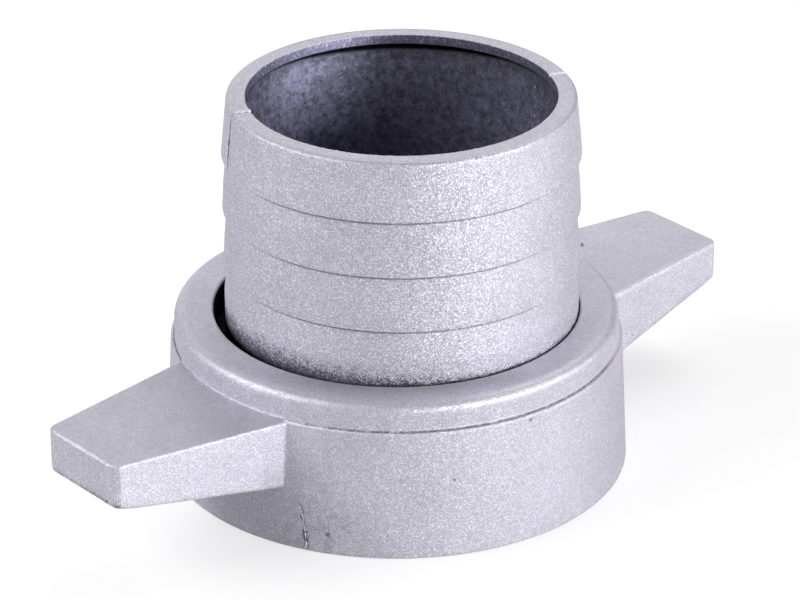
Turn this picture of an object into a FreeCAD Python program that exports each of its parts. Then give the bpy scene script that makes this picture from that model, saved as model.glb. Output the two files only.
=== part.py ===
import FreeCAD, Part

import os

import Sketcher

# A loose-nut hose coupling in three pieces, all sizes in millimetres.
# hose_tail: a cast tube with barbs for the hose, an inner lip at its mouth and a flange at its foot.
# wing_nut: a cast union nut whose hooked rim holds the flange, with two tapered wings to turn it by.
# sealing_washer: a flat ring under the flange, wider than the thread, so that nothing falls out.
# The origin is the centre of the nut's foot, +Z is up the bore, and the wings lie along X.

doc = FreeCAD.newDocument("hose_coupling")
sheet = doc.addObject("Spreadsheet::Sheet", "sizes")

SIZES = [
    ("Hose tail: everything that fits around it starts from the barbs", None, None),
    ("barb_peak_radius", 25.5, "sharp edge of a barb, for a 50 mm hose"),
    ("barb_depth", 0.7, "peak to valley"),
    ("barb_pitch", 8.2, "one barb's edge to the next"),
    ("barb_count", 3, "barbs that grip the hose"),
    ("lead_length", 8.5, "top barb's edge to the rim"),
    ("lead_depth", 0.75, "rim smaller than the barbs, so that the hose starts easily"),
    ("rim_bevel", 0.5, "bevel of the rim's outer edge"),
    ("neck_relief", 0.05, "plain neck smaller than the barbs"),
    ("neck_length", 12.6, "flange to the lowest barb's edge"),
    ("neck_blend", 5.0, "cone between the neck and the lowest barb"),
    ("flange_thickness", 3.9, "flange, foot to top"),
    ("tail_wall", 2.25, "neck to the bore at the flange"),
    ("bore_draft", 0.6, "bore narrower at the top than at the flange"),
    ("mouth_step", 0.6, "inner lip inwards of the bore"),
    ("mouth_depth", 1.5, "height of the inner lip"),
    ("mouth_slope", 0.5, "height of the slope under the inner lip"),
    ("tail_shift_x", 0.58, "play taken up in the nut's hole, along X"),
    ("tail_shift_y", -0.48, "play taken up in the nut's hole, along Y"),
    ("Wing nut: the inside, each step outwards and upwards from the last", None, None),
    ("hole_play", 0.9, "barbs to the nut's hole"),
    ("flange_bite", 1.2, "nut's lip over the flange"),
    ("thread_pass", 0.73, "flange to the crest of the thread that it passes through"),
    ("pocket_relief", 1.6, "thread's crest to the relief behind it, just past the thread's roots"),
    ("thread_depth", 11.3, "foot of the nut to the end of the thread"),
    ("entry_chamfer", 1.5, "bevel at the mouth of the thread, both ways"),
    ("lip_thickness", 4.6, "rim that hooks over the flange"),
    ("hole_bevel", 0.3, "bevel of the hole's edge"),
    ("Wing nut: the outside", None, None),
    ("nut_wall", 2.67, "relief to the outer wall, at the ledge"),
    ("wall_draft", 3.0, "degrees that the outer wall opens towards the foot"),
    ("ledge_width", 0.55, "ledge round the top of the wall"),
    ("shoulder_height", 4.2, "ledge to the top face"),
    ("shoulder_round", 1.3, "rounding of the top outer edge"),
    ("foot_bevel", 0.4, "bevel of the foot's outer edge"),
    ("Wings", None, None),
    ("wing_reach", 56.9, "axis to the end of a wing"),
    ("wing_end_width", 15.3, "width of the end face"),
    ("wing_end_height", 5.9, "height of the end face"),
    ("wing_side_taper", 9.0, "degrees that each side closes towards the end"),
    ("wing_foot_taper", 9.5, "degrees that the underside rises towards the end"),
    ("wing_top_drop", 0.2, "ledge down to the top of a wing"),
    ("wing_end_round", 1.6, "rounding of the end's upright edges"),
    ("wing_root_round", 0.8, "fillet where a side meets the wall"),
    ("Sealing washer", None, None),
    ("washer_thickness", 3.0, "rubber ring"),
    ("washer_side_gap", 0.6, "washer to the wall of the relief"),
    ("washer_bore_gap", 0.4, "washer's hole past the bore's foot"),
    ("Running clearance", None, None),
    ("flange_clearance", 0.2, "above and below the flange, so that the nut turns"),
]

for row, (alias, size, meaning) in enumerate(SIZES, start=1):
    if size is None:
        sheet.set(f"A{row}", alias)
        continue
    sheet.set(f"A{row}", meaning)
    sheet.set(f"B{row}", str(size))
    sheet.setAlias(f"B{row}", alias)
doc.recompute()

# Heights: the stack of thread, washer, flange and lip makes the nut.
FLANGE_FOOT = "(sizes.thread_depth + sizes.washer_thickness + sizes.flange_clearance)"
LIP_FOOT = f"({FLANGE_FOOT} + sizes.flange_thickness + sizes.flange_clearance)"
NUT_HEIGHT = f"({LIP_FOOT} + sizes.lip_thickness)"
LEDGE = f"({NUT_HEIGHT} - sizes.shoulder_height)"
LOWEST_BARB = "(sizes.flange_thickness + sizes.neck_length)"
TAIL_LENGTH = f"({LOWEST_BARB} + (sizes.barb_count - 1) * sizes.barb_pitch + sizes.lead_length)"
WASHER_TOP = "(sizes.thread_depth + sizes.washer_thickness)"

# Radii of the hose tail, inwards from the barbs.
BARB_PEAK = "sizes.barb_peak_radius"
BARB_VALLEY = "(sizes.barb_peak_radius - sizes.barb_depth)"
RIM = "(sizes.barb_peak_radius - sizes.lead_depth)"
NECK = "(sizes.barb_peak_radius - sizes.neck_relief)"
BORE_FOOT = f"({NECK} - sizes.tail_wall)"
BORE_TOP = f"({BORE_FOOT} - sizes.bore_draft)"
MOUTH = f"({BORE_TOP} - sizes.mouth_step)"

# Radii of the nut, outwards from the barbs: the hole clears them, the flange is wider than the
# hole, and the thread lets the flange through.
HOLE = "(sizes.barb_peak_radius + sizes.hole_play)"
FLANGE = f"({HOLE} + sizes.flange_bite)"
THREAD = f"({FLANGE} + sizes.thread_pass)"
THREAD_MOUTH = f"({THREAD} + sizes.entry_chamfer)"
POCKET = f"({THREAD} + sizes.pocket_relief)"
BODY_TOP = f"({POCKET} + sizes.nut_wall)"
SHOULDER = f"({BODY_TOP} - sizes.ledge_width)"
FOOT = f"({BODY_TOP} + {LEDGE} * tan(sizes.wall_draft * 1 deg))"


def value(expression):
    """The number that an expression in the sheet's sizes gives now."""
    return float(sheet.evalExpression(expression))


def new_piece(label):
    """An empty body, named after its file."""
    body = doc.addObject("PartDesign::Body", label)
    body.Label = label
    return body


def origin_feature(body, role):
    """One of the body's own planes or axes."""
    return next(item for item in body.Origin.OriginFeatures if item.Role == role)


def hold(sketch, kind, corner, expression, name):
    """Tie a corner's distance from the sketch's origin to the sheet."""
    if expression == "0":
        axis = -2 if kind == "DistanceX" else -1
        sketch.addConstraint(Sketcher.Constraint("PointOnObject", corner, 1, axis))
        return
    index = sketch.addConstraint(Sketcher.Constraint(kind, -1, 1, corner, 1, value(expression)))
    sketch.renameConstraint(index, name)
    sketch.setExpression(f"Constraints.{name}", expression)


def draw_sides(sketch, places):
    """Straight sides from corner to corner, closed."""
    points = [FreeCAD.Vector(across, up, 0) for across, up in places]
    for start, end in zip(points, points[1:] + points[:1]):
        sketch.addGeometry(Part.LineSegment(start, end), False)
    for side in range(len(points)):
        following = (side + 1) % len(points)
        sketch.addConstraint(Sketcher.Constraint("Coincident", side, 2, following, 1))


def half_section(body, name, corners):
    """The outline that is turned about Z: each corner is (radius, height)."""
    sketch = body.newObject("Sketcher::SketchObject", name)
    sketch.AttachmentSupport = [(origin_feature(body, "XZ_Plane"), "")]
    sketch.MapMode = "FlatFace"
    draw_sides(sketch, [(value(radius), value(height)) for radius, height in corners])
    for corner, (radius, height) in enumerate(corners):
        hold(sketch, "DistanceX", corner, radius, f"radius_{corner}")
        hold(sketch, "DistanceY", corner, height, f"height_{corner}")
    return sketch


def turn(body, name, kind, sketch):
    """A Revolution or a Groove, a full turn about Z."""
    feature = body.newObject(f"PartDesign::{kind}", name)
    feature.Profile = sketch
    feature.ReferenceAxis = (sketch, ["V_Axis"])
    feature.Angle = 360
    return feature


def soften(body, name, kind, base, size, wanted):
    """A Fillet or a Chamfer on the edges of the last feature that a test picks out."""
    doc.recompute()
    edges = [f"Edge{number}" for number, edge in enumerate(base.Shape.Edges, start=1) if wanted(edge)]
    feature = body.newObject(f"PartDesign::{kind}", name)
    feature.Base = (base, edges)
    feature.setExpression("Radius" if kind == "Fillet" else "Size", size)
    return feature


def near(length, expression):
    """Whether a measured length is the one that an expression gives."""
    return abs(length - value(expression)) < 1e-4


def is_ring(edge, radius, height):
    """Whether an edge is the circle about Z of this radius at this height."""
    curve = edge.Curve
    if not isinstance(curve, Part.Circle):
        return False
    return near(curve.Radius, radius) and near(curve.Center.z, height)


def make_wing_nut():
    """The cast nut: turned outside, two wings, turned inside, then its roundings."""
    body = new_piece("wing_nut")
    outside = half_section(body, "outside_section", [
        ("0", "0"),
        (FOOT, "0"),
        (BODY_TOP, LEDGE),
        (SHOULDER, LEDGE),
        (SHOULDER, NUT_HEIGHT),
        ("0", NUT_HEIGHT),
    ])
    turn(body, "outside", "Revolution", outside)
    doc.recompute()

    wing = make_wing(body)
    both_wings = body.newObject("PartDesign::PolarPattern", "both_wings")
    both_wings.Originals = [wing]
    both_wings.Axis = (origin_feature(body, "Z_Axis"), [""])
    both_wings.Angle = 360
    both_wings.Occurrences = 2
    body.Tip = both_wings
    doc.recompute()

    inside = half_section(body, "inside_section", [
        ("0", "0"),
        (THREAD_MOUTH, "0"),
        (THREAD, "sizes.entry_chamfer"),
        (THREAD, "sizes.thread_depth"),
        (POCKET, "sizes.thread_depth"),
        (POCKET, LIP_FOOT),
        (HOLE, LIP_FOOT),
        (HOLE, NUT_HEIGHT),
        ("0", NUT_HEIGHT),
    ])
    bored = turn(body, "inside", "Groove", inside)

    ends = soften(body, "wing_ends", "Fillet", bored, "sizes.wing_end_round", is_upright_wing_end)
    roots = soften(body, "wing_roots", "Fillet", ends, "sizes.wing_root_round", is_wing_root_side)
    shoulder = soften(body, "shoulder_edge", "Fillet", roots, "sizes.shoulder_round",
                      lambda edge: is_ring(edge, SHOULDER, NUT_HEIGHT))
    hole = soften(body, "hole_edge", "Chamfer", shoulder, "sizes.hole_bevel",
                  lambda edge: is_ring(edge, HOLE, NUT_HEIGHT))
    soften(body, "foot_edge", "Chamfer", hole, "sizes.foot_bevel",
           lambda edge: is_ring(edge, FOOT, "0"))
    return body


def make_wing(body):
    """One wing: a wedge from the nut's hole out to the end face, tapered in plan and underneath."""
    to_hole = f"(sizes.wing_reach - {HOLE})"
    top = f"({LEDGE} - sizes.wing_top_drop)"
    end_foot = f"({top} - sizes.wing_end_height)"
    half_end = "sizes.wing_end_width / 2"
    half_root = f"({half_end} + {to_hole} * tan(sizes.wing_side_taper * 1 deg))"
    wing = body.newObject("PartDesign::AdditiveWedge", "wing")
    wing.AttachmentSupport = [(origin_feature(body, "XY_Plane"), "")]
    wing.MapMode = "FlatFace"
    wing.AttachmentOffset = FreeCAD.Placement(FreeCAD.Vector(), FreeCAD.Rotation(-90, 0, 0))
    corners = {
        "Ymin": HOLE,
        "Xmin": f"-{half_root}",
        "Xmax": half_root,
        "Zmin": f"{end_foot} - {to_hole} * tan(sizes.wing_foot_taper * 1 deg)",
        "Zmax": top,
        "Ymax": "sizes.wing_reach",
        "X2min": f"-{half_end}",
        "X2max": half_end,
        "Z2min": end_foot,
        "Z2max": top,
    }
    for corner, expression in corners.items():
        setattr(wing, corner, value(expression))
        wing.setExpression(corner, expression)
    return wing


def is_upright_wing_end(edge):
    """Whether an edge is one of the four upright edges of the wings' end faces."""
    ends = [vertex.Point for vertex in edge.Vertexes]
    if len(ends) != 2 or abs(ends[0].z - ends[1].z) < 1:
        return False
    return all(near(abs(point.x), "sizes.wing_reach") for point in ends)


def is_wing_root_side(edge):
    """Whether an edge runs up the wall where a wing's side meets it."""
    ends = [vertex.Point for vertex in edge.Vertexes]
    if len(ends) != 2 or abs(ends[0].z - ends[1].z) < 1:
        return False
    wall = value(BODY_TOP)
    foot = value(FOOT)
    radii = [(point.x ** 2 + point.y ** 2) ** 0.5 for point in ends]
    clear_of_axis = all(abs(point.y) > 1 for point in ends)
    return clear_of_axis and all(wall - 1e-4 < radius < foot + 1e-4 for radius in radii)


def make_hose_tail():
    """The cast tube that the hose is pushed over, off centre by the play in the nut's hole."""
    body = new_piece("hose_tail")
    barbs = int(value("sizes.barb_count"))
    corners = [
        (BORE_FOOT, "0"),
        (FLANGE, "0"),
        (FLANGE, "sizes.flange_thickness"),
        (NECK, "sizes.flange_thickness"),
        (NECK, f"{LOWEST_BARB} - sizes.neck_blend"),
    ]
    for barb in range(barbs):
        edge_height = f"{LOWEST_BARB} + {barb} * sizes.barb_pitch"
        corners.append((BARB_VALLEY, edge_height))
        corners.append((BARB_PEAK, edge_height))
    corners += [
        (RIM, TAIL_LENGTH),
        (MOUTH, TAIL_LENGTH),
        (MOUTH, f"{TAIL_LENGTH} - sizes.mouth_depth"),
        (BORE_TOP, f"{TAIL_LENGTH} - sizes.mouth_depth - sizes.mouth_slope"),
    ]
    tube = turn(body, "tube", "Revolution", half_section(body, "tube_section", corners))
    soften(body, "rim_edge", "Chamfer", tube, "sizes.rim_bevel",
           lambda edge: is_ring(edge, RIM, TAIL_LENGTH))
    body.setExpression("Placement.Base.x", "sizes.tail_shift_x")
    body.setExpression("Placement.Base.y", "sizes.tail_shift_y")
    body.setExpression("Placement.Base.z", FLANGE_FOOT)
    return body


def make_sealing_washer():
    """The flat rubber ring between the flange and the pipe that is screwed in."""
    body = new_piece("sealing_washer")
    outer = f"({POCKET} - sizes.washer_side_gap)"
    inner = f"({BORE_FOOT} + sizes.washer_bore_gap)"
    ring = half_section(body, "ring_section", [
        (inner, "sizes.thread_depth"),
        (outer, "sizes.thread_depth"),
        (outer, WASHER_TOP),
        (inner, WASHER_TOP),
    ])
    turn(body, "ring", "Revolution", ring)
    return body


pieces = [make_wing_nut(), make_hose_tail(), make_sealing_washer()]
doc.recompute()

for item in doc.Objects:
    if "Invalid" in item.State or "Error" in item.State:
        raise RuntimeError(f"{item.Label} did not build: {item.State}")

os.makedirs("parts", exist_ok=True)
for piece in pieces:
    shape = piece.Shape
    if shape.isNull() or not shape.isValid() or len(shape.Solids) != 1:
        raise RuntimeError(f"{piece.Label} is not one sound solid")
    shape.exportStep(f"parts/{piece.Label}.step")
    box = shape.optimalBoundingBox()
    print(f"{piece.Label}: {shape.Volume / 1000:.2f} cm3, "
          f"{box.XLength:.2f} x {box.YLength:.2f} x {box.ZLength:.2f} mm, "
          f"z {box.ZMin:.2f} to {box.ZMax:.2f}, {len(shape.Faces)} faces")
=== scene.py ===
import math

import bmesh
import bpy
import numpy as np
from bpy.props import FloatProperty, FloatVectorProperty, IntProperty, PointerProperty
from mathutils import Matrix, Vector


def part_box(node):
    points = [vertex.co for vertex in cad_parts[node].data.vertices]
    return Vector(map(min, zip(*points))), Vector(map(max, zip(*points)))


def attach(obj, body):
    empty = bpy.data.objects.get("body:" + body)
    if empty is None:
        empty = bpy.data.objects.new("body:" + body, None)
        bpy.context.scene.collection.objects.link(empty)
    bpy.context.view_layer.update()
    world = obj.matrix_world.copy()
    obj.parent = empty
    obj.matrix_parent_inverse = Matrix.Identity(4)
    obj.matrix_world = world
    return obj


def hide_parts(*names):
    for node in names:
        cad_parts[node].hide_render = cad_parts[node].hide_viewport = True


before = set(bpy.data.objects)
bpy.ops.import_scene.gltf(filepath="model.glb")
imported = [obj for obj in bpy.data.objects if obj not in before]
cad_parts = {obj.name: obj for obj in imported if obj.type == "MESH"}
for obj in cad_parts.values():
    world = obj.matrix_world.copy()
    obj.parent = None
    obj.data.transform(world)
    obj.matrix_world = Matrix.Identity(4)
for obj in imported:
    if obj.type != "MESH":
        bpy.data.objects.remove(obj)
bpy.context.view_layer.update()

bl_info = {
    "name": "Loose-nut hose coupling",
    "version": (1, 0, 0),
    "blender": (4, 5, 0),
    "location": "3D View > Sidebar > Coupling",
    "description": "A cast aluminium hose tail in a union nut with two wings, and its studio",
    "category": "Object",
}

MM = 0.001
LEFT, RIGHT = 0, 1
TAIL_LOW, TAIL_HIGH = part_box("hose_tail")
NUT_LOW, NUT_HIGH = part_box("wing_nut")
WASHER_LOW, WASHER_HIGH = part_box("sealing_washer")
TAIL_AXIS = (TAIL_LOW + TAIL_HIGH) / 2
NUT_AXIS = (NUT_LOW + NUT_HIGH) / 2

# The camera's right and the side nearest it, seen from above. Painted light and shade in the skins
# change towards them.
RIGHTWARD = (0.77, -0.64, 0.0)
NEARWARD = (-0.64, -0.77, 0.0)


def length(name, meaning, size):
    """A property for a size, given in millimetres and kept in metres."""
    return FloatProperty(name=name, description=meaning, default=size * MM, min=0.0,
                         subtype="DISTANCE", precision=5)


def turning(name, meaning, degrees):
    """A property for an angle."""
    return FloatProperty(name=name, description=meaning, default=math.radians(degrees),
                         subtype="ANGLE")


def pair(name, meaning, left, right, unit="LENGTH"):
    """A property with a value for each wing, given in millimetres or degrees."""
    values = [math.radians(value) if unit == "ROTATION" else value * MM for value in (left, right)]
    return FloatVectorProperty(name=name, description=meaning, default=values, size=2, unit=unit,
                               precision=5)


def tone(name, meaning, colour):
    """A property for a colour."""
    return FloatVectorProperty(name=name, description=meaning, default=colour, subtype="COLOR",
                               min=0.0, max=1.0)


def share(name, meaning, value):
    """A property for a value from 0 to 1."""
    return FloatProperty(name=name, description=meaning, default=value, min=0.0, max=1.0)


def amount(name, meaning, value, least=0.0, unit="NONE"):
    """A property for a plain value."""
    return FloatProperty(name=name, description=meaning, default=value, min=least, unit=unit)


def count(name, meaning, value, least=1):
    """A property for a whole number."""
    return IntProperty(name=name, description=meaning, default=value, min=least)


class HoseTailSizes(bpy.types.PropertyGroup):
    """The barbed tube and its flange."""

    columns: count("Columns", "Columns of faces round the tube", 420, 16)
    longest_step: length("Longest step", "Longest face up the tube", 0.7)
    barb_radius: length("Barb radius", "Axis to the sharp edge of a barb", 25.5)
    barb_depth: length("Barb depth", "Edge of a barb to the valley under it", 0.7)
    barb_pitch: length("Barb pitch", "One barb's edge to the next", 8.2)
    barb_count: count("Barbs", "Barbs up the tube", 3)
    lowest_barb: length("Lowest barb", "Foot of the flange to the lowest barb's edge", 16.5)
    flank_belly: length("Flank belly", "How far a barb's flank bulges from a straight cone", 0.08)
    rim_radius: length("Rim radius", "Axis to the outside of the rim", 24.66)
    rim_round: length("Rim rounding", "Rounding of the rim's outer edge", 0.6)
    mouth_radius: length("Mouth radius", "Axis to the inner lip", 22.0)
    mouth_depth: length("Mouth depth", "Height of the inner lip", 1.5)
    groove_radius: length("Groove radius", "Axis to the groove under the lip", 22.95)
    groove_height: length("Groove height", "Height of the groove under the lip", 0.9)
    bore_top: length("Bore radius at the top", "Axis to the bore under the groove", 22.6)
    bore_foot: length("Bore radius at the foot", "Axis to the bore at the flange", 23.2)
    neck_radius: length("Neck radius", "Axis to the plain neck", 25.45)
    neck_top: length("Neck height", "Foot of the flange to the top of the neck", 11.5)
    flange_thickness: length("Flange thickness", "Flange that the nut holds", 3.9)
    flange_round: length("Flange rounding", "Rounding of the flange's edges", 0.3)


class WingNutSizes(bpy.types.PropertyGroup):
    """The union nut and its two wings."""

    columns: count("Columns", "Columns of faces round the nut", 700, 64)
    ledge_height: length("Ledge height", "Foot to the ledge round the wall", 19.0)
    wall_radius: length("Wall radius", "Axis to the wall at the ledge", 32.6)
    wall_draft: turning("Wall draft", "Opening of the wall towards the foot", 3.0)
    shoulder_radius: length("Shoulder radius", "Axis to the shoulder above the ledge", 32.05)
    shoulder_round: length("Shoulder rounding", "Rounding of the top outer edge", 1.45)
    shoulder_fillet: length("Shoulder fillet", "Fillet between the ledge and the shoulder", 0.12)
    ledge_round: length("Ledge rounding", "Rounding of the ledge's edge", 0.35)
    foot_round: length("Foot rounding", "Rounding of the foot's outer edge", 0.15)
    hole_radius: length("Hole radius", "Axis to the hole round the tail", 26.4)
    hole_bevel: length("Hole bevel", "Bevel of the hole's edge", 0.3)
    lip_foot: length("Lip height", "Foot of the nut to the lip over the flange", 18.6)
    relief_foot: length("Relief height", "Foot of the nut to the relief over the thread", 11.3)
    relief_radius: length("Relief radius", "Axis to the relief over the thread", 29.93)
    wing_reach: pair("Wing reach", "Axis to a wing's end", 56.51, 57.27)
    wing_end_half: pair("Wing half width", "Half the width of a wing's end", 7.67, 7.7)
    wing_end_top: pair("Wing end top", "Foot of the nut to the top of a wing's end", 19.27, 18.66)
    wing_end_foot: pair("Wing end foot", "Foot of the nut to the underside of a wing's end",
                        12.62, 12.43)
    wing_side_taper: pair("Side taper", "Closing of a wing's side towards its end",
                          9.6, 8.4, "ROTATION")
    wing_top_taper: pair("Top taper", "Fall of a wing's top towards its end",
                         -0.53, -0.3, "ROTATION")
    wing_foot_taper: pair("Underside taper", "Rise of a wing's underside towards its end",
                          8.3, 11.0, "ROTATION")
    wing_turn: pair("Wing turn", "Turn of a wing out of the line through both",
                    0.86, 0.2, "ROTATION")
    wing_end_round: length("Wing end rounding", "Rounding of the end's upright edges", 1.2)
    wing_toe_round: length("Wing toe rounding", "Rounding of the end's lower edge", 0.9)
    wing_toe_length: length("Wing toe length", "Wing over which the toe's rounding fades", 3.0)
    wing_edge_round: pair("Wing edge rounding", "Rounding of the other edges", 0.25, 0.65)
    wing_root_round: length("Wing root rounding", "Fillet between a wing and the wall", 0.18)
    ledge_fillet: length("Ledge fillet", "Fillet between a wing's top and the shoulder", 0.15)


class ThreadSizes(bpy.types.PropertyGroup):
    """The female pipe thread, 11 turns to the inch."""

    pitch: length("Pitch", "One turn to the next", 2.309)
    root_radius: length("Root radius", "Axis to the thread's roots", 29.81)
    crest_radius: length("Crest radius", "Axis to the thread's crests", 28.33)
    foot: length("Foot", "Foot of the nut to the first turn", 1.3)
    buried: length("Buried", "Depth of the ridge's foot in the wall", 0.25)
    turns: amount("Turns", "Turns of thread", 3.9, 0.5)
    flat_share: share("Flat", "Half the crest's flat, as a share of the pitch", 0.08)
    foot_share: share("Ridge foot", "Half the ridge's foot, as a share of the pitch", 0.47)


class FlashSizes(bpy.types.PropertyGroup):
    """The ragged lines that the die leaves at its joints, and the unevenness of the skin."""

    thickness: length("Thickness", "Thickness of a line of flash", 0.2)
    lump: length("Lump", "Length of one lump or gap", 0.55)
    unevenness: length("Unevenness", "How far the cast skin rises and falls", 0.035)
    patch: length("Patch", "Size of one rise or fall of the cast skin", 2.2)
    tail_seam: turning("Tail seam", "Turn of the tail's die seam about its axis", -22.5)
    nut_seam: turning("Nut seam", "Turn of the nut's foot seam about its axis", 207.5)
    core_seam: turning("Core seam", "Turn of the bore's seam past the tail's die seam", 14.6)


class FinishColours(bpy.types.PropertyGroup):
    """Colours and grain of the materials."""

    aluminium: tone("Aluminium", "Blasted cast aluminium", (0.60, 0.583, 0.667))
    grain: length("Grain", "Size of one facet of the blasted skin", 0.125)
    grain_contrast: share("Grain contrast", "How far the facets differ in tone", 0.3)
    metal: share("Metal", "How far the blasted skin mirrors as bare metal does", 0.5)
    bore_metal: share("Bore metal", "How far the raw skin inside the tail mirrors", 0.35)
    # Tone inside the tail: the raw skin's own darker tone, deepened there by painted shade.
    raw_and_shade_tone: share("Raw tone", "Tone of the unblasted skin inside the tail", 0.35)
    # Painted shade: the near-black tone painted into the gap and into the nut's hole.
    gap_shade_tone: share("Gap tone", "Tone of the skin inside the gap", 0.06)
    bore_tint: FloatVectorProperty(name="Bore tint", description="Tint of the skin inside the tail",
                                   default=(0.93, 0.925, 1.18), min=0.0)
    # Tint of the painted shade low down in the gap.
    gap_shade_tint: FloatVectorProperty(name="Dirt tint", description="Tint of the dirt in the gap",
                                   default=(0.97, 0.96, 1.1), min=0.0)
    rubber: tone("Rubber", "Washer", (0.028, 0.028, 0.031))


class StudioSettings(bpy.types.PropertyGroup):
    """The floor, the lamps and the camera."""

    view_turn: turning("View turn", "Camera's turn from straight in front", 39.75)
    view_tilt: turning("View tilt", "Camera's height above the horizon", 25.909)
    view_roll: turning("View roll", "Camera's roll", -0.08)
    view_distance: length("View distance", "Camera to the point that it looks at", 526.27)
    view_height: length("View height", "Height of the point that it looks at", 23.586)
    view_right: length("View offset", "That point's distance to the right of the axis", 0.5)
    focal_length: amount("Focal length", "Camera's focal length", 164.4, 1.0, "CAMERA")
    floor: tone("Floor", "Floor of the studio", (0.58, 0.58, 0.58))
    floor_glow: amount("Floor glow", "What makes the floor look white", 0.55)
    floor_sheen: amount("Floor sheen", "What the metal sees of that glow", 0.08)
    world_light: amount("World light", "Strength of the world's even light", 0.02)


def tail_sizes():
    """The sizes of the hose tail."""
    return bpy.context.scene.coupling_tail


def nut_sizes():
    """The sizes of the wing nut."""
    return bpy.context.scene.coupling_nut


def flash_sizes():
    """The sizes of the flash and of the skin's unevenness."""
    return bpy.context.scene.coupling_flash


def finish():
    """The colours and the grain."""
    return bpy.context.scene.coupling_finish


def add_node(tree, kind, inputs=None, **settings):
    """A node with its settings, its inputs given as values or as the sockets that feed them."""
    made = tree.nodes.new(kind)
    made.location = (190 * len(tree.nodes), 0)
    for name, setting in settings.items():
        setattr(made, name, setting)
    for key, value in (inputs or {}).items():
        if isinstance(value, bpy.types.NodeSocket):
            tree.links.new(value, made.inputs[key])
        else:
            made.inputs[key].default_value = value
    return made


def maths(tree, operation, *values):
    """The result of one step of arithmetic."""
    return add_node(tree, "ShaderNodeMath", dict(enumerate(values)), operation=operation).outputs[0]


def vector_maths(tree, operation, first, second=None):
    """The result of one step of vector arithmetic, a vector or a value."""
    inputs = {0: first}
    if second is not None:
        inputs["Scale" if operation == "SCALE" else 1] = second
    made = add_node(tree, "ShaderNodeVectorMath", inputs, operation=operation)
    return made.outputs["Value" if operation in ("DOT_PRODUCT", "DISTANCE", "LENGTH") else "Vector"]


def ramp(tree, value, low, high, out_low=0.0, out_high=1.0, shape="LINEAR"):
    """A value taken from one range to another and held within it."""
    inputs = {"Value": value, "From Min": low, "From Max": high,
              "To Min": out_low, "To Max": out_high}
    return add_node(tree, "ShaderNodeMapRange", inputs, interpolation_type=shape).outputs[0]


def new_geometry_tree(name, sockets):
    """An empty geometry tree that takes a geometry and the named inputs, and gives a geometry."""
    tree = bpy.data.node_groups.new(name, "GeometryNodeTree")
    tree.interface.new_socket("Geometry", in_out="INPUT", socket_type="NodeSocketGeometry")
    for label, kind, meaning in sockets:
        socket = tree.interface.new_socket(label, in_out="INPUT", socket_type=f"NodeSocket{kind}")
        socket.description = meaning
    tree.interface.new_socket("Geometry", in_out="OUTPUT", socket_type="NodeSocketGeometry")
    return tree, add_node(tree, "NodeGroupInput").outputs


def end_tree(tree, geometry, material):
    """The end of every tree: real mesh with its finish."""
    real = add_node(tree, "GeometryNodeRealizeInstances", {0: geometry})
    dressed = add_node(tree, "GeometryNodeSetMaterial", {0: real.outputs[0], "Material": material})
    add_node(tree, "NodeGroupOutput", {0: dressed.outputs[0]})
    return tree


def grow(piece, tree, **values):
    """Put a geometry tree on a piece, with its inputs set by name."""
    modifier = piece.modifiers.new(tree.name, "NODES")
    modifier.node_group = tree
    for socket in tree.interface.items_tree:
        key = socket.name.replace(" ", "_").lower()
        if socket.in_out == "INPUT" and key in values:
            modifier[socket.identifier] = values[key]


def settle(piece, name):
    """A plain mesh object in place of a piece and its modifiers."""
    evaluated = piece.evaluated_get(bpy.context.evaluated_depsgraph_get())
    mesh = bpy.data.meshes.new_from_object(evaluated)
    bpy.data.objects.remove(piece)
    mesh.name = name
    mesh.shade_smooth()
    outwards(mesh)
    made = bpy.data.objects.new(name, mesh)
    bpy.context.scene.collection.objects.link(made)
    return made


def outwards(mesh):
    """Turn a closed mesh so that its faces point outwards."""
    shell = bmesh.new()
    shell.from_mesh(mesh)
    if shell.calc_volume(signed=True) < 0:
        bmesh.ops.reverse_faces(shell, faces=shell.faces)
        shell.to_mesh(mesh)
    shell.free()


def new_mesh_object(name, corners, edges=(), faces=()):
    """An object of plain mesh, linked to the scene."""
    mesh = bpy.data.meshes.new(name)
    mesh.from_pydata(corners, edges, faces)
    made = bpy.data.objects.new(name, mesh)
    bpy.context.scene.collection.objects.link(made)
    return made


def rounded_corner(here, back, ahead, rounding):
    """The points that round one corner, or the corner itself where it stays sharp.

    Back and ahead lead from the corner to its neighbours.
    """
    side_share = 0.48
    step_turn = math.radians(15)
    back_length = np.linalg.norm(back)
    ahead_length = np.linalg.norm(ahead)
    back = back / back_length
    ahead = ahead / ahead_length
    opening = math.acos(np.clip(back @ ahead, -1.0, 1.0))
    if rounding == 0 or math.pi - opening < 1e-3:
        return [here]
    cut = min(rounding / math.tan(opening / 2), side_share * back_length, side_share * ahead_length)
    radius = cut * math.tan(opening / 2)
    middle = (back + ahead) / np.linalg.norm(back + ahead)
    centre = here + middle * radius / math.sin(opening / 2)
    start = here + back * cut - centre
    end = here + ahead * cut - centre
    steps = max(3, math.ceil((math.pi - opening) / step_turn))
    arms = [start * (1 - step / steps) + end * (step / steps) for step in range(steps + 1)]
    return [centre + arm * radius / np.linalg.norm(arm) for arm in arms]


def rounded_outline(corners, longest):
    """A closed outline whose corners are rounded and whose straight stretches are divided.

    Each corner is (across, up, rounding). No step is longer than the longest.
    """
    turned = []
    for index, (across, up, rounding) in enumerate(corners):
        here = np.array((across, up))
        back = np.array(corners[index - 1][:2]) - here
        ahead = np.array(corners[(index + 1) % len(corners)][:2]) - here
        turned += rounded_corner(here, back, ahead, rounding)
    outline = []
    for start, end in zip(turned, turned[1:] + turned[:1]):
        steps = max(1, math.ceil(np.linalg.norm(end - start) / longest))
        outline += [start + (end - start) * step / steps for step in range(steps)]
    return outline


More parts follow.
